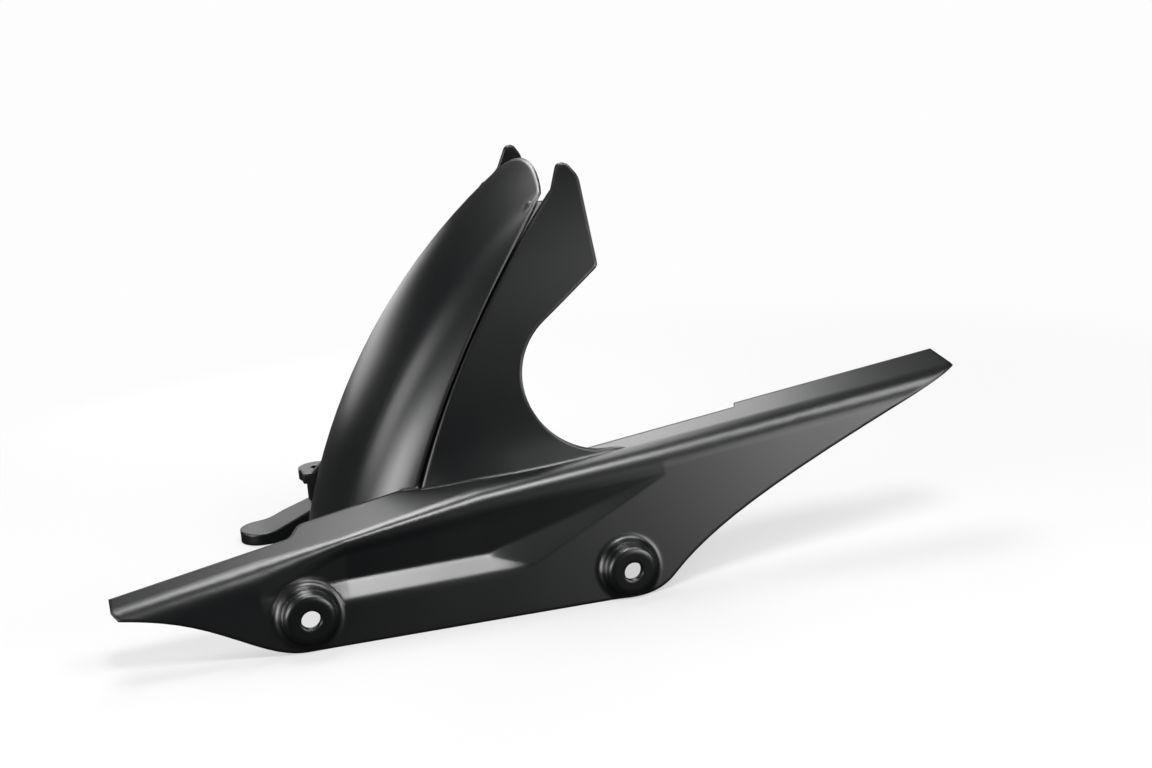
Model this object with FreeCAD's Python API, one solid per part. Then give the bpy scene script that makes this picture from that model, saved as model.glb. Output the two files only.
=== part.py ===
import FreeCAD, Part
import math
import os
from FreeCAD import Vector

os.makedirs("parts", exist_ok=True)

# Motorcycle rear mudguard with its chain guard, one moulded piece. Millimetres.
# X runs rearward, Y to the machine's right and Z up. The shapes are drawn from the wheel's middle plane
# (y = 0) and moved at the end, so that the origin is the front bolt hole, at the outer face of its boss.

WALL = 3.0                  # moulded wall thickness

# Wheel arch: a crown turned about the axle
ARCH_R = 345.0              # axle to the top of the crown
ARCH_BASE = (18.92369, 0.0)    # two points of the crown, x and z, from which the axle follows
ARCH_TOP = (147.00547, 190.0)
CROWN_R = 170.0             # crown across the tread
SHOULDER_R = 45.0           # tighter curve at both shoulders
SHOULDER_Y = 42.0           # where the shoulder takes over from the crown
SHOULDER_END = 76.0         # degrees turned at the edge of the shoulder
ARCH_LOW = 14.0             # lower end of the arch, degrees above the axle's level
ARCH_HIGH = 60.0            # turned a little past the rear edge, which is cut below
EDGE_LOW_X = 152.4          # rear edge of the arch, a straight cut seen from the side
EDGE_LOW_Z = 185.6
EDGE_HIGH_X = 160.6
EDGE_HIGH_Z = 203.4

# Groove between the arch and the side panels: an arc seen from the side
GROOVE_R = 457.0
GROOVE_BASE = (52.23841, 0.0)  # two points of the arc, x and z
GROOVE_TOP = (156.70661, 190.0)
GROOVE_GAP = 1.6
STRIP_WIDTH = 9.0           # strip that closes the groove from behind
STRIP_DEPTH = 2.2           # under the surface
STRIP_LEAN = 2.4            # its front edge lies deeper, as the crown turns in
STRIP_STEPS = 6
STRIP_LEFT_LOW = 30.0       # heights that the strips run between
STRIP_RIGHT_LOW = 0.0
STRIP_HIGH = 181.0

# Side panels: fin on top, round cut-out behind. Heights, with the outer face at front, middle and rear
PANEL_REAR_X = 186.0
PANEL_LEAD = 6.0            # the sheet starts this far in front of the groove before it is trimmed
PANEL_Z = (36.0, 60.0, 80.0, 108.0, 138.0, 166.0, 188.0, 210.0)
LEFT_FRONT = (71.0, 70.6, 69.6, 67.2, 63.6, 57.6, 52.0, 51.0)
LEFT_MIDDLE = (95.0, 84.5, 77.0, 71.5, 66.0, 59.6, 55.0, 54.0)
LEFT_REAR = (97.0, 91.5, 85.0, 77.5, 68.5, 61.6, 57.0, 56.0)
RIGHT_MIDDLE = (80.0, 78.0, 75.5, 72.0, 66.0, 59.6, 55.0, 54.0)
RIGHT_REAR = (86.0, 84.0, 81.0, 76.0, 68.5, 61.6, 57.0, 56.0)
FIN_TIP_X = 162.6
FIN_TIP_Z = 204.2
FIN_ROOT_Z = 187.2          # the fin stands free of the arch above this height
FIN_SHOULDER_X = 171.0
FIN_SHOULDER_Z = 193.0
FIN_HEEL_X = 174.6
FIN_HEEL_Z = 146.6
FIN_TIP_R = 3.8
FIN_SHOULDER_R = 11.0
FIN_HEEL_R = 4.0
CUT_X = 164.0               # round cut-out
CUT_Z = 92.4
CUT_R = 37.0
CUT_FOOT_X = 184.0          # foot of the cut-out, run out along the chain guard
CUT_FOOT_Z = 54.9
CUT_END = 268.0             # degrees, lower end of the cut-out's arc
PANEL_BASE_X = 40.0
PANEL_BASE_Z = 41.5         # the left panel ends inside the flange
RIGHT_FOOT_X = 130.0        # lower edge of the right panel
RIGHT_FOOT_Z = 50.0
RIGHT_BASE_X = 84.0
RIGHT_BASE_Z = 37.0

# Chain guard: side plate as a leaning plane, y = SIDE_Y + SIDE_YAW x + SIDE_LEAN z
SIDE_Y = -106.0
SIDE_YAW = -0.0455
SIDE_LEAN = 0.19
CREASE_Z = 44.8             # crease between side plate and flange, at BEND_X
CREASE_RISE_FRONT = 0.168
CREASE_RISE_TAIL = 0.107
FLANGE_RISE = 0.15          # flange rises towards the wheel
CREASE_SOFT = 10.0          # length of the crease's curve on each side
CREASE_INNER = 3.4          # flat across the inside of the crease
FOLD_SOFT = 3.4             # length of the curve at a soft fold
SOFT_FOLDS = (2, 5)         # which folds are curved: the upper one and the foot of the ledge
CREASE_SHARE = 0.8          # most that a curve may take of the straight beside it
FOLD_SHARE = 0.19
GUARD_FRONT = -92.6
GUARD_TAIL = 361.0
GUARD_BOTTOM = -17.6
NOSE_Z = 11.2               # lower edge at the front end
NOSE_CHAMFER = 3.0          # corner taken off there
NOSE_SWEEP = 45.0           # length of the sweep's flat start
NOSE_DIP = 4.0              # fall over that length
BELLY_X = -3.0              # front end of the straight lower edge
BELLY_SWEEP = 24.0
HEEL_X = 169.0              # rear end of the straight lower edge
HEEL_R = 29.0
HEEL_TURN = 43.0            # degrees turned at the heel
TAIL_FOOT_X = 357.0         # lower edge runs out at the tail's crease
TAIL_FOOT_Z = 72.4
TAIL_LIP = 1.6              # rise from there to the tail's end
TAIL_SWEEP = 36.0
TAIL_RUN = 102.0
TAIL_SLOPE = 0.395

# Inner edge of the flange, seen from above
FLANGE_FRONT_Y = -79.0
FLANGE_ARCH_Y = -68.0
FLANGE_MID_Y = -82.0
FLANGE_TAIL_Y = -77.5
STEP_FRONT_X = 1.0          # swept step ahead of the arch
STEP_LENGTH = 12.0
FLANGE_ARCH_END = 88.0      # the flange leaves the panel between these two
FLANGE_MID_START = 112.0
NOTCH_X = 240.0             # small notch in the tail
NOTCH_LENGTH = 2.0
TAIL_CORNER = 9.0           # rounded corner at the tail's end

# Pocket pressed into the side plate between the bolts
POCKET_START = -22.0
POCKET_FULL = 22.0
BEND_X = 93.0
TIP_X = 116.0
APEX_X = 190.0
POCKET_DEPTH_TOP = 3.4
POCKET_DEPTH = 6.2
POCKET_TOP_Z = 26.0         # upper fold at POCKET_FULL
POCKET_TOP_BEND_Z = 31.4    # upper fold at BEND_X
LEDGE_Z = 12.4              # upper edge of the bright ledge
LEDGE_FOOT_Z = 3.6          # lower edge of the ledge
LEDGE_RISE = 0.022          # both rise slightly rearward
LEDGE_LIP = 1.2             # lip between pocket floor and ledge
LEDGE_DEPTH = 5.2           # depth of the ledge's upper edge
APEX_DROP = 12.5            # the folds run together this far under the crease
APEX_STEP = 0.8             # and this far apart

# Bolt bosses
BOLT_FACE = -113.0          # outer face of the front boss, from the wheel's middle plane
REAR_BOLT_X = 164.6
REAR_BOLT_Z = -2.6
REAR_BOLT_FACE = -121.0
BOLT_R = 4.9
BOSS_R = 16.0               # at the side plate
BOSS_TOP_R = 13.4           # at the rim
BOSS_RIM = 3.4              # rounding of the rim
BOSS_WEB = 3.6              # thickness of the bolted face
BOSS_RISE = 9.0             # length over which the boss widens from rim to plate
FOOT_R = 18.0               # the boss runs out into the plate on this radius
FOOT_RISE = 4.0             # height of that run-out
BOSS_REACH = 30.0           # drawn this deep, then trimmed by the plate's inner skin

# Right-hand bracket: lug with an upright hole, and a tongue in front of the arch
LUG_X = 37.5
LUG_Y = 82.0
LUG_R = 11.0
LUG_TOP = 18.2
LUG_THICK = 6.0
LUG_HOLE_R = 3.3
TONGUE_X = 0.5              # centre of the rounded nose
TONGUE_NEAR_Y = 60.0
TONGUE_FAR_Y = 86.0
TONGUE_REAR_X = 52.0
TONGUE_TOP = -10.8          # top at the nose
TONGUE_LIFT_X = 5.0         # the top starts to rise here
TONGUE_RISE = 0.42
TONGUE_BEND_R = 30.0        # rounding where the top starts to rise
TONGUE_TAPER = 10.0         # the outer edge draws in by this at the rear
WEB_INSET = 1.23477         # the upright web's inner face, inside the arch's inner edge
WEB_FRONT_X = 29.5
WEB_NECK_X = 14.0           # the web's front edge leans back this far above the lug
WEB_NECK_RISE = 9.0
WEB_LIP = 3.0               # the front edge stands upright from here, under the lug's top
WEB_DROP = 16.0             # down to here
WEB_CHIN = 9.0              # and runs back this far to the lower edge
WEB_LOW_Z = -12.0
WEB_TOP_X = 72.0            # where the web leaves the right panel
WEB_TOP_Z = 52.0
WEB_REAR_X = 90.0
WEB_REAR_Z = 37.0
WEB_REAR_STEP = 2.0
WEB_REAR_RISE = 9.0


def arc_centre(low, high, radius):
    """Centre of the arc through two points of the side view, behind them and below."""
    dx = high[0] - low[0]
    dz = high[1] - low[1]
    chord = math.hypot(dx, dz)
    away = math.sqrt(radius ** 2 - 0.25 * chord ** 2) / chord
    return 0.5 * (low[0] + high[0]) + dz * away, 0.5 * (low[1] + high[1]) - dx * away


AXLE_X, AXLE_Z = arc_centre(ARCH_BASE, ARCH_TOP, ARCH_R)
GROOVE_X, GROOVE_Z = arc_centre(GROOVE_BASE, GROOVE_TOP, GROOVE_R)


def arc_points(cx, cz, r, a0, a1):
    """Start, middle and end of an arc in the side view, angles in degrees."""
    out = []
    for a in (a0, 0.5 * (a0 + a1), a1):
        out.append(Vector(cx + r * math.cos(math.radians(a)), 0, cz + r * math.sin(math.radians(a))))
    return out


def arc_edge(points):
    return Part.Arc(*points).toShape()


def line_edge(a, b):
    return Part.LineSegment(a, b).toShape()


def bezier_edge(*poles):
    curve = Part.BezierCurve()
    curve.setPoles(list(poles))
    return curve.toShape()


def side(x, z):
    return Vector(x, 0, z)


def prism_y(edges, y0, y1):
    """Solid between y0 and y1 over a closed outline drawn in the side view."""
    face = Part.Face(Part.Wire(edges))
    face.translate(Vector(0, y0, 0))
    return face.extrude(Vector(0, y1 - y0, 0))


def polygon_edges(points):
    return [line_edge(a, b) for a, b in zip(points, points[1:] + points[:1])]


def rounded_corner(before, corner, after, radius):
    """Line end, arc edge and line start that round one corner of an outline."""
    u = (before - corner).normalize()
    v = (after - corner).normalize()
    half = 0.5 * u.getAngle(v)
    reach = radius / math.tan(half)
    a = corner + u * reach
    b = corner + v * reach
    centre = corner + (u + v).normalize() * (radius / math.sin(half))
    middle = centre + (corner - centre).normalize() * radius
    return a, Part.Arc(a, middle, b).toShape(), b


# Wheel arch

def crown_point(y_turn, outer):
    """Half of the crown's section as (y, r): ends of the crown arc and of the shoulder arc."""
    drop = 0.0 if outer else WALL
    turn = math.asin(SHOULDER_Y / CROWN_R)
    crown_c = ARCH_R - CROWN_R
    shoulder_y = SHOULDER_Y - SHOULDER_R * math.sin(turn)
    shoulder_c = crown_c + (CROWN_R - SHOULDER_R) * math.cos(turn)
    if y_turn <= turn:
        return (CROWN_R - drop) * math.sin(y_turn), crown_c + (CROWN_R - drop) * math.cos(y_turn)
    return (shoulder_y + (SHOULDER_R - drop) * math.sin(y_turn),
            shoulder_c + (SHOULDER_R - drop) * math.cos(y_turn))


def crown_y(radius):
    """Half width of the arch at a given distance from the axle, on the shoulder or on the crown."""
    turn = math.asin(SHOULDER_Y / CROWN_R)
    crown_c = ARCH_R - CROWN_R
    if radius > crown_c + CROWN_R * math.cos(turn):
        return math.sqrt(CROWN_R ** 2 - (radius - crown_c) ** 2)
    shoulder_y = SHOULDER_Y - SHOULDER_R * math.sin(turn)
    shoulder_c = crown_c + (CROWN_R - SHOULDER_R) * math.cos(turn)
    return shoulder_y + math.sqrt(SHOULDER_R ** 2 - (radius - shoulder_c) ** 2)


def at_angle(y, radius, degrees):
    a = math.radians(degrees)
    return Vector(AXLE_X - radius * math.cos(a), y, AXLE_Z + radius * math.sin(a))


def arch_shell():
    turn = math.asin(SHOULDER_Y / CROWN_R)
    end = math.radians(SHOULDER_END)
    mid = 0.5 * (turn + end)
    edges = []
    ends = []
    for outer in (True, False):
        def p(angle, sign):
            y, r = crown_point(angle, outer)
            return at_angle(sign * y, r, ARCH_LOW)
        edges.append(Part.Arc(p(end, -1), p(mid, -1), p(turn, -1)).toShape())
        edges.append(Part.Arc(p(turn, -1), p(0, 1), p(turn, 1)).toShape())
        edges.append(Part.Arc(p(turn, 1), p(mid, 1), p(end, 1)).toShape())
        ends.append((p(end, -1), p(end, 1)))
    edges.append(line_edge(ends[0][0], ends[1][0]))
    edges.append(line_edge(ends[0][1], ends[1][1]))
    section = Part.Face(Part.Wire(Part.__sortEdges__(edges)))
    shell = section.revolve(Vector(AXLE_X, 0, AXLE_Z), Vector(0, 1, 0), ARCH_HIGH - ARCH_LOW)
    behind_groove = Part.makeCylinder(GROOVE_R, 300, Vector(GROOVE_X, -150, GROOVE_Z), Vector(0, 1, 0))
    reach = 3.0
    low = side(EDGE_LOW_X, EDGE_LOW_Z)
    high = side(EDGE_HIGH_X, EDGE_HIGH_Z)
    step = high - low
    behind_edge = prism_y(polygon_edges([low - step * reach, high + step * reach,
                                         high + step * reach + Vector(150, 0, 0),
                                         low - step * reach + Vector(150, 0, 0)]), -150, 150)
    return shell.cut(behind_groove).cut(behind_edge)


# Side panels

def groove_x(z, inset):
    return GROOVE_X - math.sqrt((GROOVE_R - inset) ** 2 - (z - GROOVE_Z) ** 2)


def panel_sheet(front, middle, rear, sign):
    """Curved sheet, one wall thick, lofted through level sections."""
    wires = []
    for z, f, m, r in zip(PANEL_Z, front, middle, rear):
        x0 = groove_x(z, 0) - PANEL_LEAD
        x1 = 0.5 * (x0 + PANEL_REAR_X)
        outer = [Vector(x0, sign * f, z), Vector(x1, sign * m, z), Vector(PANEL_REAR_X, sign * r, z)]
        inner = [p - Vector(0, sign * WALL, 0) for p in outer]
        a = Part.BSplineCurve()
        a.interpolate(outer)
        b = Part.BSplineCurve()
        b.interpolate(inner)
        wires.append(Part.Wire([a.toShape(), line_edge(outer[-1], inner[-1]), b.toShape(),
                                line_edge(inner[0], outer[0])]))
    return Part.makeLoft(wires, True, False)


def fin_edges():
    """Outline from the groove over the fin to the start of the cut-out's arc."""
    tip = side(FIN_TIP_X, FIN_TIP_Z)
    shoulder = side(FIN_SHOULDER_X, FIN_SHOULDER_Z)
    heel = side(FIN_HEEL_X, FIN_HEEL_Z)
    start = side(groove_x(FIN_ROOT_Z, GROOVE_GAP), FIN_ROOT_Z)
    to_heel = math.hypot(FIN_HEEL_X - CUT_X, FIN_HEEL_Z - CUT_Z)
    bearing = math.atan2(FIN_HEEL_Z - CUT_Z, FIN_HEEL_X - CUT_X)
    tangent = math.degrees(bearing + math.acos(CUT_R / to_heel))
    cut_start = arc_points(CUT_X, CUT_Z, CUT_R, tangent, tangent)[0]
    a1, e1, b1 = rounded_corner(start, tip, shoulder, FIN_TIP_R)
    a2, e2, b2 = rounded_corner(tip, shoulder, heel, FIN_SHOULDER_R)
    a3, e3, b3 = rounded_corner(shoulder, heel, cut_start, FIN_HEEL_R)
    edges = [line_edge(start, a1), e1, line_edge(b1, a2), e2, line_edge(b2, a3), e3, line_edge(b3, cut_start)]
    return start, edges, tangent


def panel_outline(foot):
    """Closed side-view outline; foot is the list of points from the cut-out back to below the groove."""
    start, edges, tangent = fin_edges()
    edges.append(arc_edge(arc_points(CUT_X, CUT_Z, CUT_R, tangent, CUT_END)))
    last = arc_points(CUT_X, CUT_Z, CUT_R, CUT_END, CUT_END)[0]
    points = [last] + foot + [start]
    for a, b in zip(points, points[1:]):
        edges.append(line_edge(a, b))
    return edges


def groove_limit():
    """Side-view limit of the panels: behind the groove, and open above the end of the arch."""
    behind = Part.makeCylinder(GROOVE_R - GROOVE_GAP, 300, Vector(GROOVE_X, -150, GROOVE_Z), Vector(0, 1, 0))
    above = Part.makeBox(100, 300, 60, Vector(EDGE_LOW_X - 40, -150, FIN_ROOT_Z))
    return behind.fuse(above)


def left_panel():
    foot = [side(CUT_FOOT_X, CUT_FOOT_Z), side(CUT_FOOT_X, PANEL_BASE_Z),
            side(PANEL_BASE_X, PANEL_BASE_Z), side(PANEL_BASE_X, FIN_HEEL_Z)]
    sheet = panel_sheet(LEFT_FRONT, LEFT_MIDDLE, LEFT_REAR, -1)
    return sheet.common(prism_y(panel_outline(foot), -150, -20)).common(groove_limit())


def right_panel():
    foot = [side(RIGHT_FOOT_X, RIGHT_FOOT_Z), side(RIGHT_BASE_X, RIGHT_BASE_Z),
            side(PANEL_BASE_X, RIGHT_BASE_Z), side(PANEL_BASE_X, FIN_HEEL_Z)]
    sheet = panel_sheet(LEFT_FRONT, RIGHT_MIDDLE, RIGHT_REAR, 1)
    return sheet.common(prism_y(panel_outline(foot), 20, 150)).common(groove_limit())


def groove_strip(sign, low_z, high_z):
    """Strip that closes the groove from behind, lofted between level sections."""
    wires = []
    for i in range(STRIP_STEPS + 1):
        z = low_z + (high_z - low_z) * i / STRIP_STEPS
        x = groove_x(z, 0.5 * GROOVE_GAP)
        outer = crown_y(math.hypot(x - AXLE_X, z - AXLE_Z)) - STRIP_DEPTH
        front = x - 0.5 * STRIP_WIDTH
        rear = x + 0.5 * STRIP_WIDTH
        corners = [(front, outer - STRIP_LEAN), (rear, outer), (rear, outer - WALL),
                   (front, outer - STRIP_LEAN - WALL)]
        points = [Vector(cx, sign * cy, z) for cx, cy in corners]
        wires.append(Part.Wire(polygon_edges(points)))
    return Part.makeLoft(wires, True, True)


# Chain guard

def side_y(x, z):
    return SIDE_Y + SIDE_YAW * x + SIDE_LEAN * z


def crease_z(x):
    rise = CREASE_RISE_FRONT if x < BEND_X else CREASE_RISE_TAIL
    return CREASE_Z + rise * (x - BEND_X)


def pocket_folds(x):
    """Heights and depths of the four folds under the crease, at one station."""
    apex = crease_z(APEX_X) - APEX_DROP
    if x >= APEX_X:
        return [(apex - k * APEX_STEP, 0.0) for k in range(4)]
    rise = LEDGE_RISE * (x - POCKET_FULL)
    ledge = LEDGE_Z + rise
    foot = (LEDGE_FOOT_Z + rise, 0.0)
    if x <= POCKET_START:
        return [(crease_z(x) - APEX_DROP, 0.0), (ledge, 0.0), (ledge - LEDGE_LIP, 0.0), foot]
    if x <= BEND_X:
        t = (x - POCKET_FULL) / (BEND_X - POCKET_FULL)
        top = POCKET_TOP_Z + (POCKET_TOP_BEND_Z - POCKET_TOP_Z) * t
        return [(top, POCKET_DEPTH_TOP), (ledge, POCKET_DEPTH), (ledge - LEDGE_LIP, LEDGE_DEPTH), foot]
    t = (x - BEND_X) / (APEX_X - BEND_X)
    bend_ledge = LEDGE_Z + LEDGE_RISE * (BEND_X - POCKET_FULL)
    top = POCKET_TOP_BEND_Z + (apex - POCKET_TOP_BEND_Z) * t
    fold = bend_ledge + (apex - APEX_STEP - bend_ledge) * t
    return [(top, POCKET_DEPTH_TOP * (1 - t)), (fold, POCKET_DEPTH * (1 - t)),
            (foot[0] + LEDGE_LIP, 0.0), foot]


def guard_profile(x, folds):
    """Outer corners of the section at one station as (y, z): flange, crease, folds, lower end."""
    zc = crease_z(x)
    yc = side_y(x, zc)
    flange_y = FLANGE_ARCH_Y + 10.0
    points = [(flange_y, zc + FLANGE_RISE * (flange_y - yc)), (yc, zc)]
    if folds:
        for z, depth in pocket_folds(x):
            points.append((side_y(x, z) + depth, z))
    bottom = GUARD_BOTTOM - 10.0
    points.append((side_y(x, bottom), bottom))
    return points


def inward(points, distance):
    """Corners moved towards the inside of the section by one distance."""
    normals = []
    for a, b in zip(points, points[1:]):
        length = math.hypot(b[0] - a[0], b[1] - a[1])
        normals.append((-(b[1] - a[1]) / length, (b[0] - a[0]) / length))
    out = []
    for i, p in enumerate(points):
        n = normals[max(i - 1, 0)]
        m = normals[min(i, len(normals) - 1)]
        k = distance / (1.0 + n[0] * m[0] + n[1] * m[1])
        out.append((p[0] + k * (n[0] + m[0]), p[1] + k * (n[1] + m[1])))
    return out


def soft_edges(points, x, depth):
    """Edges along the section as one open chain: curved at the soft corners, flat facets on the inside."""
    v = [Vector(x, y, z) for y, z in points]
    edges = []
    last = v[0]
    for i in range(1, len(v) - 1):
        a = v[i - 1] - v[i]
        b = v[i + 1] - v[i]
        outer_soft = FOLD_SOFT if i in SOFT_FOLDS else 0.0
        if i == 1:
            soft = min(CREASE_SOFT, CREASE_SHARE * b.Length) if depth == 0 else CREASE_INNER
        else:
            soft = 0.0 if depth > 0 else min(outer_soft, FOLD_SHARE * a.Length, FOLD_SHARE * b.Length)
        start = v[i] + a.normalize() * soft
        end = v[i] + b.normalize() * soft
        edges.append(line_edge(last, start))
        if soft > 0:
            edges.append(bezier_edge(start, v[i], end) if depth == 0 else line_edge(start, end))
        last = end
    edges.append(line_edge(last, v[-1]))
    return edges, v[0], v[-1]


def guard_span(stations, folds, depth, spare):
    """Filled chain guard between stations: depth moves the skin inward, spare widens the open sides."""
    wires = []
    for x in stations:
        points = guard_profile(x, folds)
        if depth > 0:
            points = inward(points, depth)
            points[0] = (points[0][0] + spare, points[0][1] + FLANGE_RISE * spare)
            points[-1] = (points[-1][0] - SIDE_LEAN * spare, points[-1][1] - spare)
        edges, first, last = soft_edges(points, x, depth)
        corner = Vector(x, first.y, last.z)
        wires.append(Part.Wire(edges + [line_edge(last, corner), line_edge(corner, first)]))
    return Part.makeLoft(wires, True, True)


def guard_loft(depth, spare):
    nose = guard_span((GUARD_FRONT - 8.0, POCKET_START), False, depth, spare)
    pocket = guard_span((POCKET_START, POCKET_FULL, BEND_X, TIP_X, APEX_X), True, depth, spare)
    tail = guard_span((APEX_X, GUARD_TAIL + 12.0), False, depth, spare)
    return nose.fuse(pocket).fuse(tail)


def boss(x, z, face):
    """Boss about a bolt, drawn along Y, with a rounded rim."""
    base = face + BOSS_REACH
    slope = (BOSS_R - BOSS_TOP_R) / BOSS_RISE
    flat = Vector(x + BOSS_TOP_R - BOSS_RIM, face, z)
    corner = Vector(x + BOSS_TOP_R, face, z)
    rim = Vector(x + BOSS_TOP_R, face + BOSS_RIM, z)
    wide = Vector(x + BOSS_TOP_R + slope * (BOSS_REACH - BOSS_RIM), base, z)
    edges = [line_edge(Vector(x, face, z), flat), bezier_edge(flat, corner, rim), line_edge(rim, wide),
             line_edge(wide, Vector(x, base, z)), line_edge(Vector(x, base, z), Vector(x, face, z))]
    return Part.Face(Part.Wire(edges)).revolve(Vector(x, 0, z), Vector(0, 1, 0), 360)


def boss_foot(x, z):
    """Concave run-out around a boss, turned about the normal of the side plate."""
    normal = Vector(SIDE_YAW, -1, SIDE_LEAN).normalize()
    across = normal.cross(Vector(0, 0, 1)).normalize()
    centre = Vector(x, side_y(x, z), z)

    def p(radius, height):
        return centre + across * radius + normal * height
    inner = FOOT_R - FOOT_RISE
    turn = FOOT_RISE * math.sin(math.pi / 4)
    mid = p(FOOT_R - turn, FOOT_RISE - turn)
    edges = [Part.Arc(p(inner, FOOT_RISE), mid, p(FOOT_R, 0)).toShape(),
             line_edge(p(FOOT_R, 0), p(FOOT_R, -2)),
             line_edge(p(FOOT_R, -2), p(0, -2)), line_edge(p(0, -2), p(0, FOOT_RISE)),
             line_edge(p(0, FOOT_RISE), p(inner, FOOT_RISE))]
    return Part.Face(Part.Wire(edges)).revolve(centre, normal, 360)


def boss_hollow(x, z, face):
    slope = (BOSS_R - BOSS_TOP_R) / BOSS_RISE
    top = BOSS_TOP_R - WALL
    length = BOSS_REACH - BOSS_WEB
    return Part.makeCone(top, top + slope * length, length, Vector(x, face + BOSS_WEB, z), Vector(0, 1, 0))


def guard_side_prism():
    """Side-view outline of the chain guard: swept lower edge, rounded heel, rising tail."""
    top = 140.0
    nose = side(GUARD_FRONT + NOSE_CHAMFER, NOSE_Z)
    belly = side(BELLY_X, GUARD_BOTTOM)
    heel = side(HEEL_X, GUARD_BOTTOM)
    turn = arc_points(HEEL_X, GUARD_BOTTOM + HEEL_R, HEEL_R, -90.0, -90.0 + HEEL_TURN)
    lean = math.radians(HEEL_TURN)
    tail = side(TAIL_FOOT_X, TAIL_FOOT_Z)
    edges = [line_edge(side(GUARD_FRONT, top), side(GUARD_FRONT, NOSE_Z + NOSE_CHAMFER)),
             line_edge(side(GUARD_FRONT, NOSE_Z + NOSE_CHAMFER), nose),
             bezier_edge(nose, side(nose.x + NOSE_SWEEP, NOSE_Z - NOSE_DIP),
                         side(BELLY_X - BELLY_SWEEP, GUARD_BOTTOM), belly),
             line_edge(belly, heel),
             arc_edge(turn),
             bezier_edge(turn[2], turn[2] + Vector(math.cos(lean), 0, math.sin(lean)) * TAIL_SWEEP,
                         tail - Vector(1, 0, TAIL_SLOPE) * (TAIL_RUN / math.hypot(1, TAIL_SLOPE)), tail),
             line_edge(tail, side(GUARD_TAIL, TAIL_FOOT_Z + TAIL_LIP)),
             line_edge(side(GUARD_TAIL, TAIL_FOOT_Z + TAIL_LIP), side(GUARD_TAIL, top)),
             line_edge(side(GUARD_TAIL, top), side(GUARD_FRONT, top))]
    return prism_y(edges, -150, -40)


def guard_plan_prism():
    """Outline from above: inner edge of the flange with its step and notch, rounded tail."""
    def p(x, y):
        return Vector(x, y, -60)
    step = p(STEP_FRONT_X - 0.5 * STEP_LENGTH, FLANGE_FRONT_Y)
    step_end = p(STEP_FRONT_X + 0.5 * STEP_LENGTH, FLANGE_ARCH_Y)
    half = Vector(0.5 * STEP_LENGTH, 0, 0)
    out_y = -150.0
    corner_y = side_y(GUARD_TAIL, crease_z(GUARD_TAIL)) + TAIL_CORNER
    round_a = p(GUARD_TAIL, corner_y)
    round_b = p(GUARD_TAIL - 0.55 * TAIL_CORNER, corner_y - 1.25 * TAIL_CORNER)
    edges = [line_edge(p(GUARD_FRONT, out_y), p(GUARD_FRONT, FLANGE_FRONT_Y)),
             line_edge(p(GUARD_FRONT, FLANGE_FRONT_Y), step),
             bezier_edge(step, step + half, step_end - half, step_end),
             line_edge(step_end, p(FLANGE_ARCH_END, FLANGE_ARCH_Y)),
             line_edge(p(FLANGE_ARCH_END, FLANGE_ARCH_Y), p(FLANGE_MID_START, FLANGE_MID_Y)),
             line_edge(p(FLANGE_MID_START, FLANGE_MID_Y), p(NOTCH_X, FLANGE_MID_Y)),
             line_edge(p(NOTCH_X, FLANGE_MID_Y), p(NOTCH_X + NOTCH_LENGTH, FLANGE_TAIL_Y)),
             line_edge(p(NOTCH_X + NOTCH_LENGTH, FLANGE_TAIL_Y), p(GUARD_TAIL, FLANGE_TAIL_Y)),
             line_edge(p(GUARD_TAIL, FLANGE_TAIL_Y), round_a),
             bezier_edge(round_a, round_a - Vector(0, 0.8 * TAIL_CORNER, 0), round_b + Vector(2.5, 3, 0),
                         round_b),
             line_edge(round_b, p(round_b.x, out_y)),
             line_edge(p(round_b.x, out_y), p(GUARD_FRONT, out_y))]
    return Part.Face(Part.Wire(edges)).extrude(Vector(0, 0, 260))


BOLTS = ((0.0, 0.0, BOLT_FACE), (REAR_BOLT_X, REAR_BOLT_Z, REAR_BOLT_FACE))


def chain_guard():
    filled = guard_loft(0.0, 0.0)
    for x, z, face in BOLTS:
        filled = filled.fuse(boss_foot(x, z)).fuse(boss(x, z, face))
    hollow = guard_loft(WALL, 12.0)
    for x, z, face in BOLTS:
        hollow = hollow.fuse(boss_hollow(x, z, face))
    shell = filled.cut(hollow)
    for x, z, face in BOLTS:
        shell = shell.cut(Part.makeCylinder(BOLT_R, 40, Vector(x, face - 5, z), Vector(0, 1, 0)))
    return shell.common(guard_side_prism()).common(guard_plan_prism())


# Right-hand bracket

WEB_Y = crown_point(math.radians(SHOULDER_END), False)[0] - WEB_INSET


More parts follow.
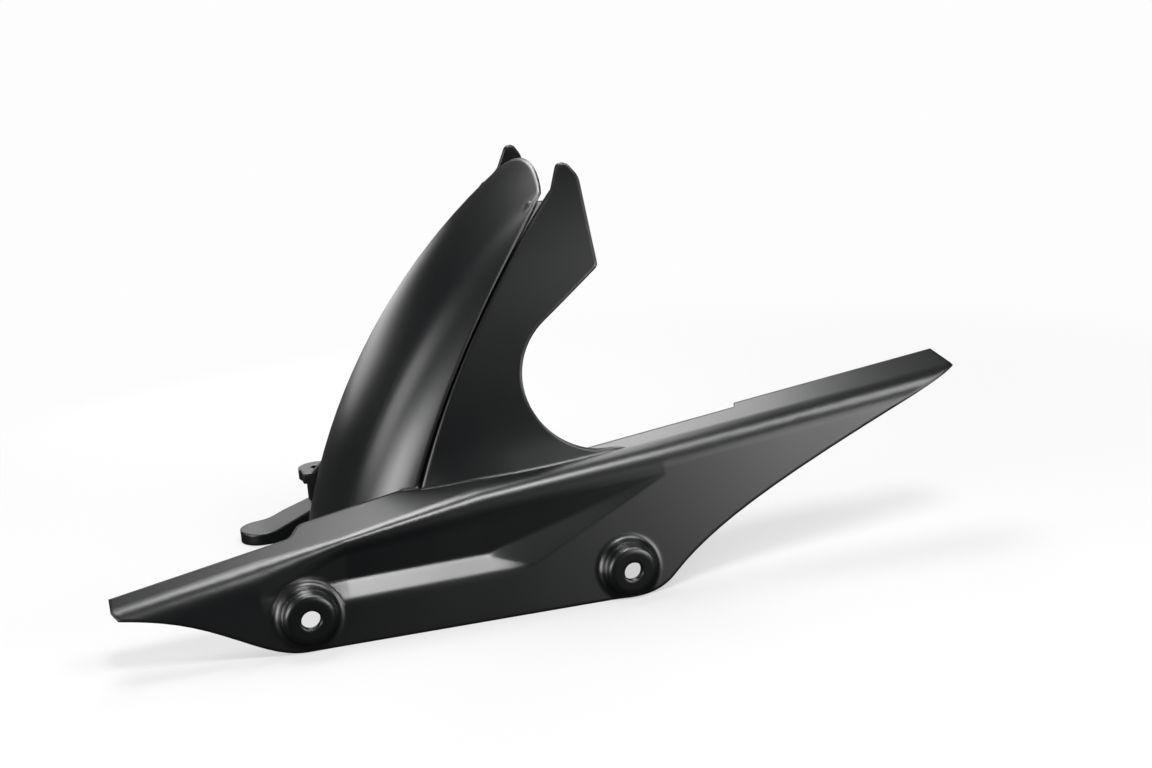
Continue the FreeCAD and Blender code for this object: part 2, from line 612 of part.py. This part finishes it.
def tongue_block(shrink):
    """Cap under the tongue's top: rounded nose from above, rising top seen from the side."""
    near = TONGUE_NEAR_Y + shrink
    far = TONGUE_FAR_Y - shrink
    radius = 0.5 * (far - near)
    middle = 0.5 * (far + near)
    floor = GUARD_BOTTOM - (5.0 if shrink > 0 else 0.0)

    def p(x, y):
        return Vector(x, y, floor)
    plan = [Part.Arc(p(TONGUE_X, far), p(TONGUE_X - radius, middle), p(TONGUE_X, near)).toShape(),
            line_edge(p(TONGUE_X, near), p(TONGUE_REAR_X - shrink, near)),
            line_edge(p(TONGUE_REAR_X - shrink, near), p(TONGUE_REAR_X - shrink, far - TONGUE_TAPER)),
            line_edge(p(TONGUE_REAR_X - shrink, far - TONGUE_TAPER), p(TONGUE_LIFT_X + TONGUE_TAPER, far)),
            line_edge(p(TONGUE_LIFT_X + TONGUE_TAPER, far), p(TONGUE_X, far))]
    block = Part.Face(Part.Wire(plan)).extrude(Vector(0, 0, 70))
    top = TONGUE_TOP - shrink
    nose = side(TONGUE_X - 30.0, top)
    lift = side(TONGUE_LIFT_X, top)
    rear = side(TONGUE_REAR_X + 20.0, top + TONGUE_RISE * (TONGUE_REAR_X + 20.0 - TONGUE_LIFT_X))
    a, bend, b = rounded_corner(nose, lift, rear, TONGUE_BEND_R)
    below = side(TONGUE_REAR_X + 20.0, floor - 10.0)
    start = side(TONGUE_X - 30.0, floor - 10.0)
    under = [line_edge(nose, a), bend, line_edge(b, rear), line_edge(rear, below), line_edge(below, start),
             line_edge(start, nose)]
    return block.common(prism_y(under, 20, 150))


def tongue():
    return tongue_block(0.0).cut(tongue_block(WALL))


def lug():
    """Level lug with an upright hole, on a short arm from the web."""
    low = LUG_TOP - LUG_THICK
    arm = Part.makeBox(2 * LUG_R - 2.0, LUG_Y - WEB_Y, LUG_THICK, Vector(LUG_X - LUG_R + 1.0, WEB_Y, low))
    eye = Part.makeCylinder(LUG_R, LUG_THICK, Vector(LUG_X, LUG_Y, low))
    hole = Part.makeCylinder(LUG_HOLE_R, LUG_THICK + 20, Vector(LUG_X, LUG_Y, low - 10))
    return arm.fuse(eye).cut(hole)


def web():
    """Upright plate that carries the lug and the tongue, under the right panel."""
    points = [side(WEB_TOP_X, WEB_TOP_Z), side(WEB_FRONT_X + WEB_NECK_X, LUG_TOP + WEB_NECK_RISE),
              side(WEB_FRONT_X, LUG_TOP - WEB_LIP), side(WEB_FRONT_X, LUG_TOP - WEB_DROP),
              side(WEB_FRONT_X + WEB_CHIN, WEB_LOW_Z), side(TONGUE_REAR_X, WEB_LOW_Z),
              side(WEB_REAR_X, WEB_REAR_Z), side(WEB_REAR_X + WEB_REAR_STEP, WEB_REAR_Z + WEB_REAR_RISE)]
    return prism_y(polygon_edges(points), WEB_Y, WEB_Y + WALL)


mudguard = arch_shell()
for piece in (left_panel(), right_panel(), groove_strip(-1, STRIP_LEFT_LOW, STRIP_HIGH),
              groove_strip(1, STRIP_RIGHT_LOW, STRIP_HIGH), web(), lug(), tongue(), chain_guard()):
    mudguard = mudguard.fuse(piece)
mudguard = mudguard.Solids[0]
mudguard.translate(Vector(0, -BOLT_FACE, 0))
mudguard.exportStep("parts/mudguard.step")
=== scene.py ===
from math import atan, radians

import bpy
from mathutils import Euler, Matrix, Vector


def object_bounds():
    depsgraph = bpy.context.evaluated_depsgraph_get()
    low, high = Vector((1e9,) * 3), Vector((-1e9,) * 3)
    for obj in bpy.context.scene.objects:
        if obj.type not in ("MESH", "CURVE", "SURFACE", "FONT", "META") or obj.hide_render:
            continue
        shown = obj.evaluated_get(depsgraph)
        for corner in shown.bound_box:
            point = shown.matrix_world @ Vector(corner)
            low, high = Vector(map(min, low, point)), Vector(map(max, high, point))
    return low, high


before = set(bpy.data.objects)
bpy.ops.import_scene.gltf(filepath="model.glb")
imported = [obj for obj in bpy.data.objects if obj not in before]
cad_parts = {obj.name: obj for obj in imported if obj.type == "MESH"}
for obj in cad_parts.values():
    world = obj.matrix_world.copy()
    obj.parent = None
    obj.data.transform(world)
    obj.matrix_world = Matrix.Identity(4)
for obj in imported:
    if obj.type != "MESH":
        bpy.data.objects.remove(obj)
cad_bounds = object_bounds()
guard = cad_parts["mudguard"]

MM = 0.001

# Moulded plastic: its colour, its gloss and the sizes of what shows on its skin
PLASTIC_BLACK = "050607"
PLASTIC_IOR = 1.5
ROUGHNESS_POLISHED = 0.29
ROUGHNESS_DULL = 0.35
POLISH_PATCH = 45 * MM
GRAIN_WIDTH = 0.5 * MM
GRAIN_DEPTH = 0.03 * MM
GRAIN_STRENGTH = 0.12
EDGE_ROUNDING = 2.2 * MM

# Table and backdrop, in metres and in shares of full white
TABLE_MIDDLE = (0.13, 0.1)
TABLE_SIZE = 12.0
PAPER_GREY = "7c7c7c"
PAPER_GLOW = 0.49
PAPER_FADES = 0.30
PAPER_ENDS = 0.75
WHITE = "ffffff"
BACKDROP_LIGHT = 0.985
TABLE_BOUNCE = 0.05
ROOM_LIGHT = 0.015

# Soft boxes, in metres, all turned to one point near the middle of the part
AIM = Vector((0.13, 0.09, 0.07))
BOX_AWAY = 1.5
BOX_SIDE = 0.6
SMALL_BOX_SIDE = 0.42
CARD_AWAY = 0.55
CARD_WIDTH = 0.3
CARD_HEIGHT = 0.12

# Camera at the photograph's place: tipped up from straight down, turned right, then leaned by a slope
CAMERA_PLACE = Vector((-95.0, -781.7, 314.1)) * MM
CAMERA_TIP = radians(76.5)
CAMERA_TURN = radians(-18.0)
CAMERA_LEAN = atan(0.075)
FOCAL_LENGTH = 53.125


def linear(code):
    """Hex sRGB colour as the linear RGBA that shaders take."""
    out = []
    for i in (0, 2, 4):
        c = int(code[i:i + 2], 16) / 255.0
        out.append(c / 12.92 if c <= 0.04045 else ((c + 0.055) / 1.055) ** 2.4)
    return (*out, 1.0)


def add(tree, kind, settings=None, inputs=None, links=None):
    """Adds one node: settings are its properties, inputs its fixed sockets, links the sockets fed to it."""
    node = tree.nodes.new(kind)
    for name, value in (settings or {}).items():
        setattr(node, name, value)
    for name, value in (inputs or {}).items():
        node.inputs[name].default_value = value
    for name, source in (links or {}).items():
        tree.links.new(source, node.inputs[name])
    return node


def empty_tree(holder):
    holder.use_nodes = True
    holder.node_tree.nodes.clear()
    return holder.node_tree


# Satin black moulded ABS: black planes, broad soft highlights and thin light lines along its edges.
# Its coordinates are in metres, so one over a real size is the scale of a pattern.

def moulded_abs():
    material = bpy.data.materials.new("moulded ABS, satin black")
    tree = empty_tree(material)
    place = add(tree, "ShaderNodeTexCoord").outputs["Object"]
    # Broad drift of the sheen, as the mould's polish differs from place to place
    drift = add(tree, "ShaderNodeTexNoise",
                inputs={"Scale": 1 / POLISH_PATCH, "Detail": 2.0}, links={"Vector": place})
    sheen = add(tree, "ShaderNodeMapRange",
                inputs={"To Min": ROUGHNESS_POLISHED, "To Max": ROUGHNESS_DULL},
                links={"Value": drift.outputs["Fac"]})
    # Even grain of the moulded skin, drawn coarser than the real one so that it breaks up the highlights
    grain = add(tree, "ShaderNodeTexNoise",
                inputs={"Scale": 1 / GRAIN_WIDTH, "Detail": 1.0}, links={"Vector": place})
    # Rounded edges of the moulding, seen as thin light lines
    edge = add(tree, "ShaderNodeBevel", settings={"samples": 8}, inputs={"Radius": EDGE_ROUNDING})
    skin = add(tree, "ShaderNodeBump",
               inputs={"Strength": GRAIN_STRENGTH, "Distance": GRAIN_DEPTH},
               links={"Height": grain.outputs["Fac"], "Normal": edge.outputs["Normal"]})
    plastic = add(tree, "ShaderNodeBsdfPrincipled",
                  inputs={"Base Color": linear(PLASTIC_BLACK), "IOR": PLASTIC_IOR},
                  links={"Roughness": sheen.outputs["Result"], "Normal": skin.outputs["Normal"]})
    add(tree, "ShaderNodeOutputMaterial", links={"Surface": plastic.outputs["BSDF"]})
    return material


guard.data.materials.clear()
guard.data.materials.append(moulded_abs())


# Studio: pale table that runs to a white backdrop, with soft boxes and cards on all sides.
# Table and backdrop are white to the camera alone, so that the planes of the plastic stay black.

def studio_table():
    """White table: lit near the object, so that it takes a soft shadow, and plain white farther off."""
    material = bpy.data.materials.new("white table")
    tree = empty_tree(material)
    path = add(tree, "ShaderNodeLightPath")
    place = add(tree, "ShaderNodeTexCoord").outputs["Object"]
    distance = add(tree, "ShaderNodeVectorMath", settings={"operation": "LENGTH"}, links={0: place})
    far = add(tree, "ShaderNodeMapRange", settings={"interpolation_type": "SMOOTHSTEP"},
              inputs={"From Min": PAPER_FADES, "From Max": PAPER_ENDS},
              links={"Value": distance.outputs["Value"]})
    paper = add(tree, "ShaderNodeBsdfDiffuse", inputs={"Color": linear(PAPER_GREY)})
    glow = add(tree, "ShaderNodeEmission", inputs={"Strength": PAPER_GLOW})
    lit = add(tree, "ShaderNodeAddShader", links={0: paper.outputs["BSDF"], 1: glow.outputs["Emission"]})
    plain = add(tree, "ShaderNodeEmission", inputs={"Strength": BACKDROP_LIGHT})
    seen = add(tree, "ShaderNodeMixShader",
               links={"Fac": far.outputs["Result"], 1: lit.outputs["Shader"], 2: plain.outputs["Emission"]})
    bounce = add(tree, "ShaderNodeEmission", inputs={"Strength": TABLE_BOUNCE})
    shown = add(tree, "ShaderNodeMixShader",
                links={"Fac": path.outputs["Is Camera Ray"],
                       1: bounce.outputs["Emission"], 2: seen.outputs["Shader"]})
    add(tree, "ShaderNodeOutputMaterial", links={"Surface": shown.outputs["Shader"]})
    return material


def studio_room():
    """Backdrop that is white to the camera and dim to the object."""
    world = bpy.data.worlds.new("studio")
    tree = empty_tree(world)
    path = add(tree, "ShaderNodeLightPath")
    dim = add(tree, "ShaderNodeBackground", inputs={"Strength": ROOM_LIGHT, "Color": linear(WHITE)})
    white = add(tree, "ShaderNodeBackground", inputs={"Strength": BACKDROP_LIGHT, "Color": linear(WHITE)})
    shown = add(tree, "ShaderNodeMixShader",
                links={"Fac": path.outputs["Is Camera Ray"],
                       1: dim.outputs["Background"], 2: white.outputs["Background"]})
    add(tree, "ShaderNodeOutputWorld", links={"Surface": shown.outputs["Shader"]})
    return world


floor_z = cad_bounds[0][2]
bpy.ops.mesh.primitive_plane_add(size=TABLE_SIZE, location=(*TABLE_MIDDLE, floor_z))
floor = bpy.context.object
floor.name = "table"
floor.data.materials.append(studio_table())

bpy.context.scene.world = studio_room()


def soft_box(name, around, up, power, away=BOX_AWAY, width=BOX_SIDE, height=BOX_SIDE):
    """Lamp that faces the part: degrees around it, counted from +X, degrees up, and watts."""
    heading = Euler((0.0, -radians(up), radians(around))).to_matrix() @ Vector((1.0, 0.0, 0.0))
    light = bpy.data.lights.new(name, "AREA")
    light.shape = "RECTANGLE"
    light.size = width
    light.size_y = height
    light.energy = power
    box = bpy.data.objects.new(name, light)
    box.location = AIM + heading * away
    box.rotation_euler = (-heading).to_track_quat("-Z", "Y").to_euler()
    bpy.context.scene.collection.objects.link(box)


# Low on the right: the light that rises along the wall of the tail, and the fin
soft_box("right low soft box", 315, 8, 8.8)
soft_box("low right card", 300, 8, 7.8)
# On the left: the broad highlight down the arch
soft_box("left low card", 195, 8, 8.2)
soft_box("low left card", 210, 8, 12.5)
soft_box("left soft box", 165, 22, 5.4)
# High behind: the top of the flange, and from the lowest of the four the top of the tail
soft_box("rear top soft box", 90, 66, 10.0)
soft_box("rear left top soft box", 120, 66, 12.0)
soft_box("rear high card", 90, 50, 4.8)
soft_box("rear soft box", 75, 36, 6.6)
# High in front: the ledge and the floor of the pocket
soft_box("front right top soft box", 315, 50, 12.0)
soft_box("front top soft box", 270, 62, 19.0, width=SMALL_BOX_SIDE, height=SMALL_BOX_SIDE)
# Near and low behind: the top of the tongue
soft_box("tongue card", 104, 5, 0.2, away=CARD_AWAY, width=CARD_WIDTH, height=CARD_HEIGHT)

lens = bpy.data.cameras.new("photo camera")
lens.lens = FOCAL_LENGTH
camera = bpy.data.objects.new("photo camera", lens)
turned = Euler((CAMERA_TIP, CAMERA_LEAN, CAMERA_TURN), "XZY").to_matrix().to_4x4()
camera.matrix_world = Matrix.Translation(CAMERA_PLACE) @ turned
bpy.context.scene.collection.objects.link(camera)
bpy.context.scene.camera = camera
bpy.context.scene.view_settings.view_transform = "Standard"
